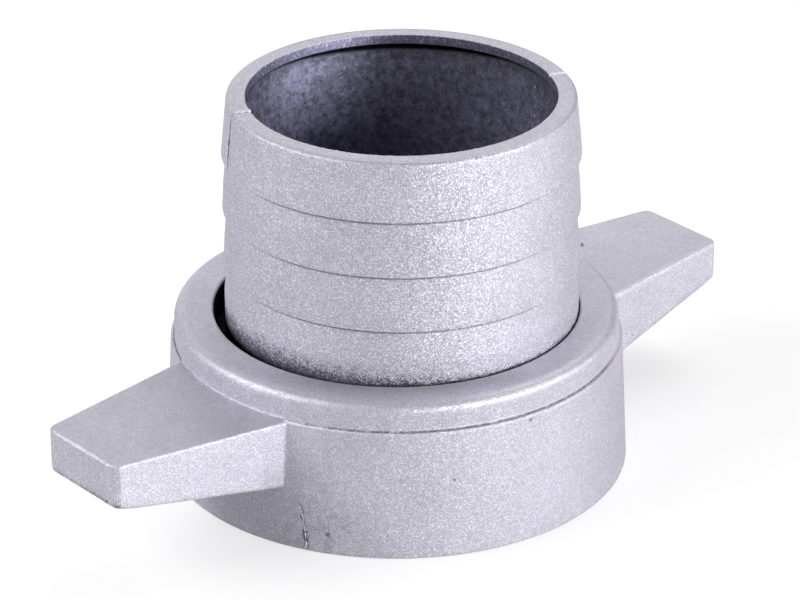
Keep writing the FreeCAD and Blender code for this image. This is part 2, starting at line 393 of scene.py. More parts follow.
def turned_casting_tree():
    """A half section turned about Z."""
    tree, given = new_geometry_tree("Turned casting", [
        ("Path Radius", "Float", "Radius that the half section's across is measured from"),
        ("Columns", "Int", "Columns of faces in a full turn"),
        ("Finish", "Material", "Material of the piece"),
    ])
    section = add_node(tree, "GeometryNodeMeshToCurve", {0: given["Geometry"]})
    path = add_node(tree, "GeometryNodeCurvePrimitiveCircle",
                    {"Resolution": given["Columns"], "Radius": given["Path Radius"]})
    upright = add_node(tree, "GeometryNodeSetCurveNormal", {0: path.outputs[0]}, mode="Z_UP")
    turned = add_node(tree, "GeometryNodeCurveToMesh",
                      {"Curve": upright.outputs[0], "Profile Curve": section.outputs[0]})
    return end_tree(tree, turned.outputs[0], given["Finish"])


def lumpy_noise(tree, seed, size, detail):
    """The noise node behind uneven skin and ragged flash, with features of a size."""
    scale = maths(tree, "DIVIDE", 1.0, size)
    return add_node(tree, "ShaderNodeTexNoise", {"W": seed, "Scale": scale, "Detail": detail},
                    noise_dimensions="4D")


def cast_skin_tree():
    """The slight rise and fall of a cast surface."""
    tree, given = new_geometry_tree("Cast skin", [
        ("Unevenness", "Float", "Rise and fall of the skin"),
        ("Patch", "Float", "Size of one rise or fall"),
        ("Seed", "Float", "Another skin of the same kind"),
        ("Finish", "Material", "Material of the piece"),
    ])
    waves = lumpy_noise(tree, given["Seed"], given["Patch"], 3.0).outputs[0]
    rise = maths(tree, "MULTIPLY", maths(tree, "SUBTRACT", waves, 0.5), given["Unevenness"])
    normal = add_node(tree, "GeometryNodeInputNormal").outputs[0]
    offset = vector_maths(tree, "SCALE", normal, rise)
    moved = add_node(tree, "GeometryNodeSetPosition",
                     {"Geometry": given["Geometry"], "Offset": offset})
    return end_tree(tree, moved.outputs[0], given["Finish"])


def flash_tree():
    """A ragged bead of flash along each curve, as thick as the curve's radius.

    A thick bead has lumps that run into each other, and a thin one has gaps between them.
    """
    tree, given = new_geometry_tree("Flash line", [
        ("Thickness", "Float", "Thickness of a bead where its curve's radius is 1"),
        ("Lump", "Float", "Length of one lump or gap"),
        ("Seed", "Float", "Another line of the same kind"),
        ("Finish", "Material", "Material of the piece"),
    ])
    step = maths(tree, "MULTIPLY", given["Lump"], 0.3)
    close = add_node(tree, "GeometryNodeResampleCurve",
                     {"Curve": given["Geometry"], "Length": step}, mode="LENGTH")
    waves = lumpy_noise(tree, given["Seed"], given["Lump"], 2.0)
    radius = add_node(tree, "GeometryNodeInputRadius").outputs[0]
    thinnest = ramp(tree, radius, 1.2, 2.2, 0.03, 0.7)
    lumps = ramp(tree, waves.outputs[0], 0.35, 0.68, thinnest, 1.4)
    apart = vector_maths(tree, "SUBTRACT", waves.outputs["Color"], (0.5, 0.5, 0.5))
    wander = vector_maths(tree, "SCALE", apart, given["Thickness"])
    wavy = add_node(tree, "GeometryNodeSetPosition",
                    {"Geometry": close.outputs[0], "Offset": wander})
    half = maths(tree, "MULTIPLY", given["Thickness"], 0.5)
    bead = add_node(tree, "GeometryNodeCurvePrimitiveCircle", {"Resolution": 6, "Radius": half})
    line = add_node(tree, "GeometryNodeCurveToMesh", {
        "Curve": wavy.outputs[0],
        "Profile Curve": bead.outputs[0],
        "Scale": maths(tree, "MULTIPLY", radius, lumps),
        "Fill Caps": True,
    })
    return end_tree(tree, line.outputs[0], given["Finish"])


def thread_tree():
    """The ridge of a thread: a helix with a blunt section, fading at both ends."""
    tree, given = new_geometry_tree("Pipe thread", [
        ("Root Radius", "Float", "Axis to the thread's roots"),
        ("Pitch", "Float", "One turn to the next"),
        ("Turns", "Float", "Turns of thread"),
        ("Foot", "Float", "Height of the first turn"),
        ("Finish", "Material", "Material of the piece"),
    ])
    section = add_node(tree, "GeometryNodeMeshToCurve", {0: given["Geometry"]})
    helix = add_node(tree, "GeometryNodeCurveSpiral", {
        "Resolution": 160,
        "Rotations": given["Turns"],
        "Start Radius": given["Root Radius"],
        "End Radius": given["Root Radius"],
        "Height": maths(tree, "MULTIPLY", given["Turns"], given["Pitch"]),
        "Reverse": True,
    })
    rise = add_node(tree, "ShaderNodeCombineXYZ", {"Z": given["Foot"]}).outputs[0]
    lifted = add_node(tree, "GeometryNodeSetPosition",
                      {"Geometry": helix.outputs[0], "Offset": rise})
    upright = add_node(tree, "GeometryNodeSetCurveNormal", {0: lifted.outputs[0]}, mode="Z_UP")
    way = add_node(tree, "GeometryNodeSplineParameter").outputs["Factor"]
    start = ramp(tree, way, 0.0, 0.06, 0.02, 1.0, "SMOOTHSTEP")
    end = ramp(tree, way, 0.94, 1.0, 1.0, 0.02, "SMOOTHSTEP")
    ridge = add_node(tree, "GeometryNodeCurveToMesh", {
        "Curve": upright.outputs[0],
        "Profile Curve": section.outputs[0],
        "Scale": maths(tree, "MULTIPLY", start, end),
        "Fill Caps": True,
    })
    return end_tree(tree, ridge.outputs[0], given["Finish"])


def turn_piece(name, corners, axis, columns, longest, material):
    """A piece turned about an upright axis from a half section of (radius, height, rounding)."""
    outline = rounded_outline(corners, longest)
    path_radius = max(radius for radius, _ in outline)
    flat = [(radius - path_radius, -height, 0.0) for radius, height in outline]
    edges = [(index, (index + 1) % len(flat)) for index in range(len(flat))]
    section = new_mesh_object(f"{name}_section", flat, edges)
    grow(section, turned_casting_tree(), path_radius=path_radius, columns=columns, finish=material)
    piece = settle(section, name)
    piece.data.transform(Matrix.Translation((axis.x, axis.y, 0.0)))
    return piece


def give_cast_skin(piece, seed, material):
    """The same piece with the uneven skin of a casting."""
    sizes = flash_sizes()
    grow(piece, cast_skin_tree(), unevenness=sizes.unevenness, patch=sizes.patch, seed=seed,
         finish=material)
    return settle(piece, piece.name)


def tail_corners(sizes):
    """Half section of the hose tail, from the bore's foot outwards and up."""
    foot = TAIL_LOW.z
    top = TAIL_HIGH.z
    flange = (TAIL_HIGH.x - TAIL_LOW.x) / 2
    flange_top = foot + sizes.flange_thickness
    valley = sizes.barb_radius - sizes.barb_depth
    belly = sizes.barb_radius - sizes.barb_depth / 2 + sizes.flank_belly
    corners = [
        (sizes.bore_foot, foot, sizes.flange_round),
        (flange, foot, sizes.flange_round),
        (flange, flange_top, sizes.flange_round),
        (sizes.neck_radius, flange_top, 0.2 * MM),
        (sizes.neck_radius, foot + sizes.neck_top, 4.0 * MM),
    ]
    for barb in range(sizes.barb_count):
        edge = foot + sizes.lowest_barb + barb * sizes.barb_pitch
        corners.append((valley, edge, 0.05 * MM))
        corners.append((sizes.barb_radius, edge, 0.07 * MM))
        if barb < sizes.barb_count - 1:
            corners.append((belly, edge + sizes.barb_pitch / 2, 30 * MM))
    lip_foot = top - sizes.mouth_depth
    corners += [
        (sizes.rim_radius, top, sizes.rim_round),
        (sizes.mouth_radius, top, 0.12 * MM),
        (sizes.mouth_radius, lip_foot, 0.15 * MM),
        (sizes.groove_radius, lip_foot - 0.1 * MM, 0.1 * MM),
        (sizes.bore_top, lip_foot - 4 * sizes.groove_height, 2.0 * MM),
    ]
    return corners


def rounded_edge(first, second, radius):
    """Distance outside two meeting faces whose common edge is rounded."""
    inside = np.minimum(np.maximum(first, second) + radius, 0)
    outside = np.hypot(np.maximum(first + radius, 0), np.maximum(second + radius, 0))
    return inside + outside - radius


def filleted(first, second, radius):
    """Distance outside two joined shapes with a fillet between them."""
    apart = np.hypot(np.maximum(radius - first, 0), np.maximum(radius - second, 0))
    return np.maximum(radius, np.minimum(first, second)) - apart


def wall_at(up, sizes):
    """Radius of the nut's drafted wall at a height."""
    return sizes.wall_radius + (sizes.ledge_height - up) * math.tan(sizes.wall_draft)


class Wing:
    """The sizes of the wing on each place's side of the axis, and the place along and across it."""

    def __init__(self, x, y, sizes):
        side = (x > 0).astype(int)

        def here(name):
            """A size of the wing on each place's side."""
            return np.array(getattr(sizes, name))[side]

        turn = here("wing_turn")
        self.out = np.abs(x * np.cos(turn) + y * np.sin(turn))
        self.beside = np.abs(y * np.cos(turn) - x * np.sin(turn))
        self.reach = here("wing_reach")
        self.short = self.reach - self.out
        self.side_taper = here("wing_side_taper")
        self.foot_taper = here("wing_foot_taper")
        self.end_half = here("wing_end_half")
        self.edge_round = here("wing_edge_round")
        self.half_width = self.end_half + self.short * np.tan(self.side_taper)
        self.top = here("wing_end_top") + self.short * np.tan(here("wing_top_taper"))
        self.foot = here("wing_end_foot") - self.short * np.tan(self.foot_taper)


def nut_distance(places, sizes):
    """Distance of each place outside the nut's skin, negative inside, its hole taken as filled."""
    x, y, up = places[..., 0], places[..., 1], places[..., 2]
    radius = np.hypot(x, y)
    wall = (radius - wall_at(up, sizes)) * math.cos(sizes.wall_draft)
    lower = rounded_edge(wall, up - sizes.ledge_height, sizes.ledge_round)
    lower = rounded_edge(lower, -up, sizes.foot_round)
    upper = rounded_edge(radius - sizes.shoulder_radius, up - NUT_HIGH.z, sizes.shoulder_round)
    body = filleted(lower, upper, sizes.shoulder_fillet)

    wing = Wing(x, y, sizes)
    side = (wing.beside - wing.half_width) * np.cos(wing.side_taper)
    under = (wing.foot - up) * np.cos(wing.foot_taper)
    shape = rounded_edge(side, -wing.short, sizes.wing_end_round)
    shape = rounded_edge(shape, up - wing.top, wing.edge_round)
    toe = np.clip(1 - wing.short / sizes.wing_toe_length, 0, 1)
    under_round = wing.edge_round + (sizes.wing_toe_round - wing.edge_round) * toe
    shape = rounded_edge(shape, under, under_round)
    top_zone = 1.5 * MM
    high = np.clip((up - wing.top + top_zone) / top_zone, 0, 1)
    root = sizes.wing_root_round + (sizes.ledge_fillet - sizes.wing_root_round) * high
    return filleted(body, shape, root)


def drawn_to_skin(places, sizes):
    """Places moved onto the nut's rounded skin."""
    rounds = 6
    nudge = 0.01 * MM
    least_steepness = 0.2
    for _ in range(rounds):
        distance = nut_distance(places, sizes)
        slope = np.stack([
            (nut_distance(places + nudge * axis, sizes) - nut_distance(places - nudge * axis, sizes))
            / (2 * nudge) for axis in np.eye(3)
        ], axis=-1)
        steepness = np.maximum((slope ** 2).sum(axis=-1), least_steepness)
        places = places - slope * (distance / steepness)[..., None]
    return places


def wing_reach_at(angles, sizes):
    """How far the nut's outline, seen from above, lies from the axis at each angle."""
    axis = Wing(np.cos(angles), np.sin(angles), sizes)
    cosine = np.maximum(axis.out, 1e-6)
    taper = np.tan(axis.side_taper)
    side = (axis.end_half + axis.reach * taper) / (axis.beside + cosine * taper)
    return np.maximum(np.minimum(side, axis.reach / cosine), sizes.wall_radius + 0.4 * MM)


def column_angles(sizes):
    """Angles round the nut, even along its outline and closer together at the wings' corners."""
    samples, window = 40001, 601
    sharpest_bend = 40
    crowding = 1.5
    fine = np.linspace(0, 2 * math.pi, samples)
    reach = wing_reach_at(fine, sizes)
    steps = np.hypot(np.diff(reach * np.cos(fine)), np.diff(reach * np.sin(fine)))
    bend = np.abs(np.gradient(reach, fine))
    corner = np.abs(np.gradient(bend, fine)) > sharpest_bend * reach
    spread = np.convolve(corner.astype(float), np.hanning(window), mode="same")
    crowd = 1 + crowding * np.clip(spread, 0, 1)
    travelled = np.concatenate([[0], np.cumsum(steps * crowd[1:])])
    wanted = np.linspace(0, travelled[-1], sizes.columns, endpoint=False)
    return np.interp(wanted, travelled, fine)


def rows_between(stops, number, crowded):
    """Rows of points along a broken line, closer together at its ends where it is crowded.

    Each stop is (radius, height) for every column, and the last one gets no row.
    """
    stops = [np.stack(np.broadcast_arrays(*stop), axis=-1) for stop in stops]
    legs = [np.linalg.norm(end - start, axis=-1) for start, end in zip(stops, stops[1:])]
    total = np.maximum(sum(legs), 1e-9)
    shares = np.arange(number) / number
    if crowded:
        shares = (1 - np.cos(math.pi * shares)) / 2
    rows = []
    for part in shares:
        left = part * total
        point = stops[0].copy()
        for start, end, leg in zip(stops, stops[1:], legs):
            done = np.clip(left / np.maximum(leg, 1e-9), 0, 1)
            point = point + (end - start) * done[:, None]
            left = left - leg
        rows.append(point)
    return rows


def rows_along(start, stretches):
    """Rows of points from a start, along stretches of (number of rows, crowded or not, stops)."""
    rows = []
    for number, crowded, *stops in stretches:
        rows += rows_between([start, *stops], number, crowded)
        start = stops[-1]
    return rows


def nut_rows(angles, sizes):
    """The nut's sections at every angle: rows of (radius, height) up its skin and down its hole."""
    ones = np.ones_like(angles)
    height = NUT_HIGH.z
    ledge = sizes.ledge_height
    reach = wing_reach_at(angles, sizes)
    cosine = np.cos(angles)
    widest = np.abs(cosine)[reach > sizes.wall_radius + 0.6 * MM].min()
    lean = np.maximum(np.abs(cosine), widest)
    turned = np.sign(cosine) * lean
    tilted = np.sign(np.sin(angles)) * np.sqrt(1 - lean ** 2)
    root = Wing(turned * sizes.wall_radius, tilted * sizes.wall_radius, sizes)
    end = Wing(turned * reach, tilted * reach, sizes)
    proud = np.clip((reach - sizes.wall_radius - 0.4 * MM) / (2 * MM), 0, 1)
    top_end = np.minimum(end.top, ledge) * (1 - proud) + end.top * proud
    top_end = top_end - 0.9 * MM * (1 - proud) ** 2
    outer = np.maximum(reach, wall_at(end.foot, sizes))
    outer_top = np.where(proud > 0, outer, wall_at(top_end, sizes))

    def ring(radius, up):
        """The same radius and height at every angle."""
        return (radius * ones, up * ones)

    def on_wall(up):
        """A place on the wall at a height, which may differ from angle to angle."""
        return (wall_at(up, sizes), up)

    brim = 0.8 * MM
    collar = sizes.hole_radius + 0.6 * MM
    shoulder, rounding = sizes.shoulder_radius, sizes.shoulder_round
    base = ring(wall_at(0, sizes) - brim, 0)
    skin = rows_along(base, [
        (5, False, ring(wall_at(0, sizes), 0)),
        (5, False, ring(wall_at(brim, sizes), brim)),
        (12, False, on_wall(root.foot - brim)),
        (22, True, on_wall(root.foot), (outer, end.foot)),
        (14, True, (outer_top, top_end)),
        (22, True, on_wall(root.top)),
        (2, False, ring(sizes.wall_radius, ledge)),
        (5, False, ring(shoulder, ledge)),
        (6, False, ring(shoulder, height - rounding)),
        (4, False, ring(shoulder, height)),
        (4, False, ring(shoulder - rounding, height)),
        (9, False, ring(collar, height)),
    ])

    thread_root = bpy.context.scene.coupling_thread.root_radius
    hole, bevel, relief = sizes.hole_radius, sizes.hole_bevel, sizes.relief_radius
    mouth_bevel = 0.3 * MM
    inside = rows_along(ring(collar, height), [
        (2, False, ring(hole + bevel, height)),
        (1, False, ring(hole + 0.3 * bevel, height - 0.3 * bevel)),
        (1, False, ring(hole, height - bevel)),
        (5, False, ring(hole, sizes.lip_foot)),
        (3, False, ring(relief, sizes.lip_foot)),
        (3, False, ring(relief, sizes.relief_foot)),
        (1, False, ring(thread_root, sizes.relief_foot - 0.12 * MM)),
        (5, False, ring(thread_root, mouth_bevel)),
        (2, False, ring(thread_root + mouth_bevel, 0)),
        (3, False, base),
    ])
    return np.array(skin), np.array(inside)


def in_space(rows, angles):
    """Rows of (radius, height) as places in space."""
    radius = rows[..., 0]
    return np.stack([radius * np.cos(angles), radius * np.sin(angles), rows[..., 1]], axis=-1)


def nut_mesh_object(name, sizes):
    """The nut as one closed mesh, its rows going up the outside and down the inside."""
    angles = column_angles(sizes)
    skin, inside = nut_rows(angles, sizes)
    places = np.concatenate([drawn_to_skin(in_space(skin, angles), sizes),
                             in_space(inside, angles)])
    rows, columns = places.shape[:2]
    numbers = np.arange(rows * columns).reshape(rows, columns)
    above = np.roll(numbers, -1, axis=0)
    faces = np.stack([numbers, np.roll(numbers, -1, axis=1), np.roll(above, -1, axis=1), above],
                     axis=-1)
    return new_mesh_object(name, places.reshape(-1, 3).tolist(), (), faces.reshape(-1, 4).tolist())


def new_material(name, roughness=0.5, metallic=0.0):
    """A node material, its tree and its shader."""
    material = bpy.data.materials.new(name)
    material.use_nodes = True
    shader = material.node_tree.nodes["Principled BSDF"]
    shader.inputs["Roughness"].default_value = roughness
    shader.inputs["Metallic"].default_value = metallic
    return material, material.node_tree, shader


def noise(tree, place, size, detail=2.0, rough=0.5):
    """Soft noise whose features have a size in metres."""
    inputs = {"Vector": place, "Scale": 1.0 / size, "Detail": detail, "Roughness": rough}
    return add_node(tree, "ShaderNodeTexNoise", inputs).outputs[0]


def parts(tree, value):
    """The three values of a vector or a colour."""
    return add_node(tree, "ShaderNodeSeparateXYZ", {0: value}).outputs


def colour_mix(tree, factor, first, second):
    """A mix of two colours, each a colour or a socket."""
    mix = tree.nodes.new("ShaderNodeMix")
    mix.location = (190 * len(tree.nodes), 0)
    mix.data_type = "RGBA"
    tree.links.new(factor, mix.inputs[0])
    for socket, colour in ((mix.inputs[6], first), (mix.inputs[7], second)):
        if isinstance(colour, bpy.types.NodeSocket):
            tree.links.new(colour, socket)
        else:
            socket.default_value = (*colour, 1.0)
    return mix.outputs[2]


class CastSkin:
    """The blasted skin of a casting, as a material that patches of other skin are added to.

    Patches are masks, which are 1 where the patch is and 0 elsewhere. Sizes are in metres.
    """

    def __init__(self, name, bright=1.0):
        colours = finish()
        self.material, self.tree, self.shader = new_material(name, metallic=colours.metal)
        self.base = Vector(colours.aluminium) * bright
        self.metal = colours.metal
        self.place = add_node(self.tree, "ShaderNodeTexCoord").outputs["Object"]
        self.height = parts(self.tree, self.place)[2]
        self.normal = add_node(self.tree, "ShaderNodeNewGeometry").outputs["Normal"]
        self.facets = self.cells(colours.grain).outputs["Color"]
        self.facet = parts(self.tree, self.facets)[0]
        self.soft = self.noise(0.9 * MM, 3.0, 0.6)
        self.shade = self.times(self.ramp(self.soft, 0.3, 0.7, 0.95, 1.05),
                                self.ramp(self.noise(7 * MM), 0.3, 0.7, 0.96, 1.04))
        upward = parts(self.tree, self.normal)[2]
        self.grain = self.ramp(upward, 0.6, 0.95, 1.0, 0.55)
        self.rough = self.ramp(self.facet, 0.0, 1.0, 0.66, 0.52)
        self.dents = None
        self.black = None
        self.tints = []

    def maths(self, operation, *values):
        """The result of one step of arithmetic."""
        return maths(self.tree, operation, *values)

    def times(self, first, *others):
        """The product of values, such as the patch that several masks share."""
        for other in others:
            first = self.maths("MULTIPLY", first, other)
        return first

    def ramp(self, value, low, high, out_low=0.0, out_high=1.0):
        """A value taken from one range to another and held within it."""
        return ramp(self.tree, value, low, high, out_low, out_high)

    def glide(self, value, low, high, out_low=0.0, out_high=1.0):
        """The same as a ramp, with soft ends."""
        return ramp(self.tree, value, low, high, out_low, out_high, "SMOOTHSTEP")

    def noise(self, size, detail=2.0, rough=0.5):
        """Soft noise in the skin."""
        return noise(self.tree, self.place, size, detail, rough)

    def cells(self, size):
        """A node that divides the skin into cells."""
        return add_node(self.tree, "ShaderNodeTexVoronoi",
                        {"Vector": self.place, "Scale": 1 / size})

    def way_along(self, direction):
        """How far along a direction each place lies."""
        return vector_maths(self.tree, "DOT_PRODUCT", self.place, direction)

    def distance_to(self, centre):
        """Distance from a place, given in millimetres."""
        return vector_maths(self.tree, "DISTANCE", self.place, tuple(Vector(centre) * MM))

    def radius_from(self, axis):
        """Distance from an upright axis."""
        offset = vector_maths(self.tree, "SUBTRACT", self.place, (axis.x, axis.y, 0.0))
        flat = vector_maths(self.tree, "MULTIPLY", offset, (1.0, 1.0, 0.0))
        return vector_maths(self.tree, "LENGTH", flat)

    def off_plane(self, axis, turn, aside=0.0, slant=0.0, level=0.0, wobble=0.0):
        """Distance from an upright plane through an axis, moved aside, slanting and wavering."""
        offset = vector_maths(self.tree, "SUBTRACT", self.place, (axis.x, axis.y, level))
        across = vector_maths(self.tree, "DOT_PRODUCT", offset,
                              (math.sin(turn), -math.cos(turn), -slant))
        waver = self.ramp(self.soft, 0.3, 0.7, -wobble - aside, wobble - aside)
        return self.maths("ABSOLUTE", self.maths("ADD", across, waver))

    def under(self, value, limit, soft=0.04 * MM):
        """1 where a value is below a limit."""
        return self.ramp(value, limit - soft, limit + soft, 1.0, 0.0)

    def over(self, value, limit, soft=0.04 * MM):
        """1 where a value is above a limit."""
        return self.ramp(value, limit - soft, limit + soft)

    def within(self, value, low, high):
        """1 where a value is between two limits."""
        return self.times(self.over(value, low), self.under(value, high))

    def joined(self, first, second):
        """Two masks as one, the first of which may be missing."""
        return second if first is None else self.maths("MAXIMUM", first, second)

    def replace_tone(self, where, other):
        """Give the skin another tone in a patch."""
        rest = self.maths("SUBTRACT", 1.0, where)
        self.shade = self.times(self.shade, self.maths("ADD", self.times(where, other), rest))

    def darken(self, where, factor):
        """Darken a patch to a factor of its tone."""
        self.shade = self.times(self.shade, self.ramp(where, 0.0, 1.0, 1.0, factor))

    def blacken(self, where, factor):
        """Paint a patch dark as shade and take its gloss too: the metallic share goes to 1 there, so
        its dark colour shows no sheen.
        """
        self.darken(where, factor)
        self.black = self.joined(self.black, where)

    def dent(self, where, factor):
        """Hollows in a patch, darkened with painted shade and sunk in the bump."""
        self.darken(where, factor)
        self.dents = self.joined(self.dents, where)

    def rub(self, where, smoother):
        """An edge rubbed smoother."""
        self.rough = self.maths("SUBTRACT", self.rough, self.times(where, smoother))

    def pit(self, centre, size):
        """One pit, its centre and its size given in millimetres."""
        size = size * MM
        wobble = self.ramp(self.soft, 0.3, 0.7, -0.35 * size, 0.35 * size)
        edge = self.maths("ADD", self.distance_to(centre), wobble)
        self.dent(self.glide(edge, 0.3 * size, size, 1.0, 0.0), 0.4)

    def scattered_pits(self, spacing, chosen_share, where=1.0):
        """Small pits here and there in a patch."""
        cells = self.cells(spacing)
        near = self.glide(cells.outputs["Distance"], 0.02, 0.05, 1.0, 0.0)
        draw = parts(self.tree, cells.outputs["Color"])[0]
        chosen = self.maths("LESS_THAN", draw, chosen_share)
        self.dent(self.times(near, chosen, where), 0.35)

    def finished(self, tilt=0.22):
        """The material, once its patches are in. Tilt is how far the facets lean."""
        tree = self.tree
        contrast = finish().grain_contrast
        sparkle = self.ramp(self.maths("POWER", self.facet, 3.0), 0.0, 1.0,
                            -0.5 * contrast, 1.5 * contrast)
        shade = self.times(self.maths("ADD", 1.0, self.times(sparkle, self.grain)), self.shade)
        colour = vector_maths(tree, "SCALE", tuple(self.base), shade)
        for where, tint in self.tints:
            tinted = vector_maths(tree, "MULTIPLY", colour, tuple(tint))
            colour = colour_mix(tree, where, colour, tinted)
        lean = vector_maths(tree, "SUBTRACT", self.facets, (0.5, 0.5, 0.5))
        lean = vector_maths(tree, "SCALE", lean, self.times(self.grain, tilt))
        leaning = vector_maths(tree, "NORMALIZE", vector_maths(tree, "ADD", self.normal, lean))
        height = self.soft
        if self.dents is not None:
            height = self.maths("SUBTRACT", height, self.times(self.dents, 2.0))
        bump = add_node(tree, "ShaderNodeBump", {"Height": height, "Distance": 0.05 * MM,
                                                 "Strength": 0.7, "Normal": leaning})
        tree.links.new(colour, self.shader.inputs["Base Color"])
        tree.links.new(bump.outputs[0], self.shader.inputs["Normal"])
        tree.links.new(self.rough, self.shader.inputs["Roughness"])
        if self.black is not None:
            tree.links.new(self.joined(self.metal, self.black), self.shader.inputs["Metallic"])
        return self.material


def bore_raw_with_painted_light(skin, sizes, side, radius, inside):
    """The raw skin inside the tail, with painted glints, painted light on its left wall near the
    mouth and on its lip, painted shade deeper down, and a painted black shadow in its groove.
    """
    colours = finish()
    top = TAIL_HIGH.z
    lip_foot = top - sizes.mouth_depth
    bore = skin.times(inside, skin.under(skin.height, lip_foot + 0.05 * MM))
    skin.grain = skin.times(skin.grain, skin.ramp(bore, 0.0, 1.0, 1.3, 0.45))
    skin.metal = skin.ramp(bore, 0.0, 1.0, colours.metal, colours.bore_metal)
    blotches = skin.ramp(skin.noise(1.2 * MM, 5.0, 0.78), 0.36, 0.66,
                         0.4 * colours.raw_and_shade_tone, 1.45 * colours.raw_and_shade_tone)
    # Painted glints: bright specks added to the raw tone.
    glints = skin.ramp(skin.noise(0.36 * MM, 1.0), 0.66, 0.74, 0.0, 0.4)
    # Painted light: the left wall near the mouth is made lighter, as if light from the right fell on
    # it.
    blasted = skin.times(skin.glide(side, -23 * MM, -14 * MM),
                         skin.glide(side, -14 * MM, -1 * MM, 1.0, 0.0),
                         skin.over(skin.height, top - 14 * MM, 11 * MM))
    # The raw tone with that painted light, and painted shade: darker deeper down and under the lip.
    raw = skin.times(skin.maths("ADD", blotches, glints),
                     skin.ramp(blasted, 0.0, 1.0, 0.9, 3.5),
                     skin.ramp(skin.height, top - 13 * MM, top - 4 * MM, 1.0, 0.74),
                     skin.ramp(skin.height, lip_foot - 3.4 * MM, lip_foot - 0.7 * MM, 1.0, 0.5))
    skin.replace_tone(bore, skin.maths("MINIMUM", raw, 1.1))
    below_rim = skin.under(skin.height, top - 0.12 * MM)
    skin.tints.append((skin.times(inside, below_rim), colours.bore_tint))

    lip = skin.times(skin.under(radius, sizes.mouth_radius + 0.16 * MM, 0.03 * MM),
                     skin.over(skin.height, lip_foot), below_rim)
    # Painted light on the lip, strongest a little left of the middle, with lighter flecks.
    lit = skin.times(skin.ramp(side, -21 * MM, -10 * MM, 0.32, 0.95),
                     skin.glide(side, -8.5 * MM, -1 * MM, 1.0, 0.28),
                     skin.ramp(skin.noise(0.5 * MM), 0.53, 0.8, 0.8, 2.1))
    skin.replace_tone(lip, lit)

    # Painted black shadow in the groove under the lip, taller towards the near and far walls than at
    # the sides.
    depth = skin.glide(skin.maths("ABSOLUTE", side), 4 * MM, 20 * MM,
                       1.25 * sizes.groove_height, 0.75 * sizes.groove_height)
    groove = skin.over(skin.maths("ADD", skin.height, depth), lip_foot, 0.24 * MM)
    skin.blacken(skin.times(bore, groove), 0.05)


def shade_beside_tail_seam(skin, sizes, radius):
    """A painted shadow beside the tail's die seam: a dark line, broken below the rim."""
    top = TAIL_HIGH.z
    beside = skin.off_plane(TAIL_AXIS, flash_sizes().tail_seam, 0.2 * MM, wobble=0.22 * MM)
    broken = skin.times(skin.ramp(skin.noise(0.9 * MM), 0.45, 0.52),
                        skin.under(skin.height, top - 3.4 * MM, 0.5 * MM))
    broken = skin.joined(broken, skin.over(skin.height, top - 0.5 * MM))
    skin.darken(skin.times(skin.under(beside, 0.12 * MM, 0.06 * MM),
                           skin.over(skin.height, top - 8 * MM), broken,
                           skin.over(radius, sizes.mouth_radius + 0.1 * MM)), 0.42)


def shade_under_barbs(skin, sizes, radius, outside):
    """The thin dark line in the valley under each barb's edge."""
    first = TAIL_LOW.z + sizes.lowest_barb
    turns = skin.maths("DIVIDE", skin.maths("SUBTRACT", skin.height, first), sizes.barb_pitch)
    above_edge = skin.times(skin.maths("FRACT", skin.maths("ADD", turns, 10.0)), sizes.barb_pitch)
    skin.darken(skin.times(skin.over(above_edge, sizes.barb_pitch - 0.52 * MM, 0.09 * MM),
                           skin.under(radius, sizes.barb_radius - 0.25 * sizes.barb_depth, 0.1 * MM),
                           skin.under(skin.height, TAIL_HIGH.z - 2 * MM), outside), 0.45)


def paint_gap_shade(skin, side, outside):
    """Speckled painted shade where the tail goes down into the nut, reaching higher on the left, and
    painted black shade below it.
    """
    nut_top = NUT_HIGH.z
    reach = skin.ramp(side, -17 * MM, 10 * MM, nut_top + 4.7 * MM, nut_top + 1.2 * MM)
    depth = skin.ramp(skin.height, nut_top - 0.6 * MM, reach, 1.1, 0.0)
    specks = skin.maths("ADD", skin.times(skin.facet, 0.6), skin.times(skin.soft, 0.8))
    gap_shade = skin.times(outside, skin.ramp(skin.maths("SUBTRACT", depth, specks), -0.15, 0.25))
    skin.darken(gap_shade, 0.27)
    skin.tints.append((gap_shade, finish().gap_shade_tint))
    skin.blacken(skin.times(outside, skin.under(skin.height, nut_top - 0.8 * MM, 0.6 * MM)),
                 finish().gap_shade_tone)


def tail_skin(sizes):
    """The tail's skin: blasted outside and raw inside, with painted light and shade in the bore, and
    painted shade low down in the gap, on the rim's near and far parts and on the tube's right side.
    """
    skin = CastSkin("Blasted aluminium, tail")
    top = TAIL_HIGH.z
    side = skin.way_along(RIGHTWARD)
    radius = skin.radius_from(TAIL_AXIS)
    inside = skin.under(radius, sizes.bore_foot + 0.6 * MM, 0.1 * MM)
    outside = skin.maths("SUBTRACT", 1.0, inside)
    bore_raw_with_painted_light(skin, sizes, side, radius, inside)
    skin.rub(skin.times(skin.over(radius, sizes.rim_radius - 0.7 * MM, 0.2 * MM),
                        skin.over(skin.height, top - 0.8 * MM, 0.2 * MM)), 0.06)
    shade_beside_tail_seam(skin, sizes, radius)
    shade_under_barbs(skin, sizes, radius, outside)
    paint_gap_shade(skin, side, outside)
    # Painted shade on the rim's top, on its parts nearest the camera and farthest from it.
    near_or_far = skin.glide(skin.maths("ABSOLUTE", skin.way_along(NEARWARD)), 11 * MM, 22 * MM)
    skin.darken(skin.times(near_or_far, outside, skin.over(skin.height, top - 0.2 * MM)), 0.9)
    # Painted shade on the tube's right side.
    skin.darken(skin.times(outside, skin.ramp(side, 20 * MM, 25 * MM)), 0.93)
    skin.scattered_pits(6 * MM, 0.25)
    return skin.finished()


# Pits in the nut's wall: turn in degrees, then height and size in millimetres
WALL_PITS = ((244.1, 11.6, 0.3), (264.9, 18.2, 0.35), (213.7, 2.9, 0.4), (228.0, 3.4, 0.25))
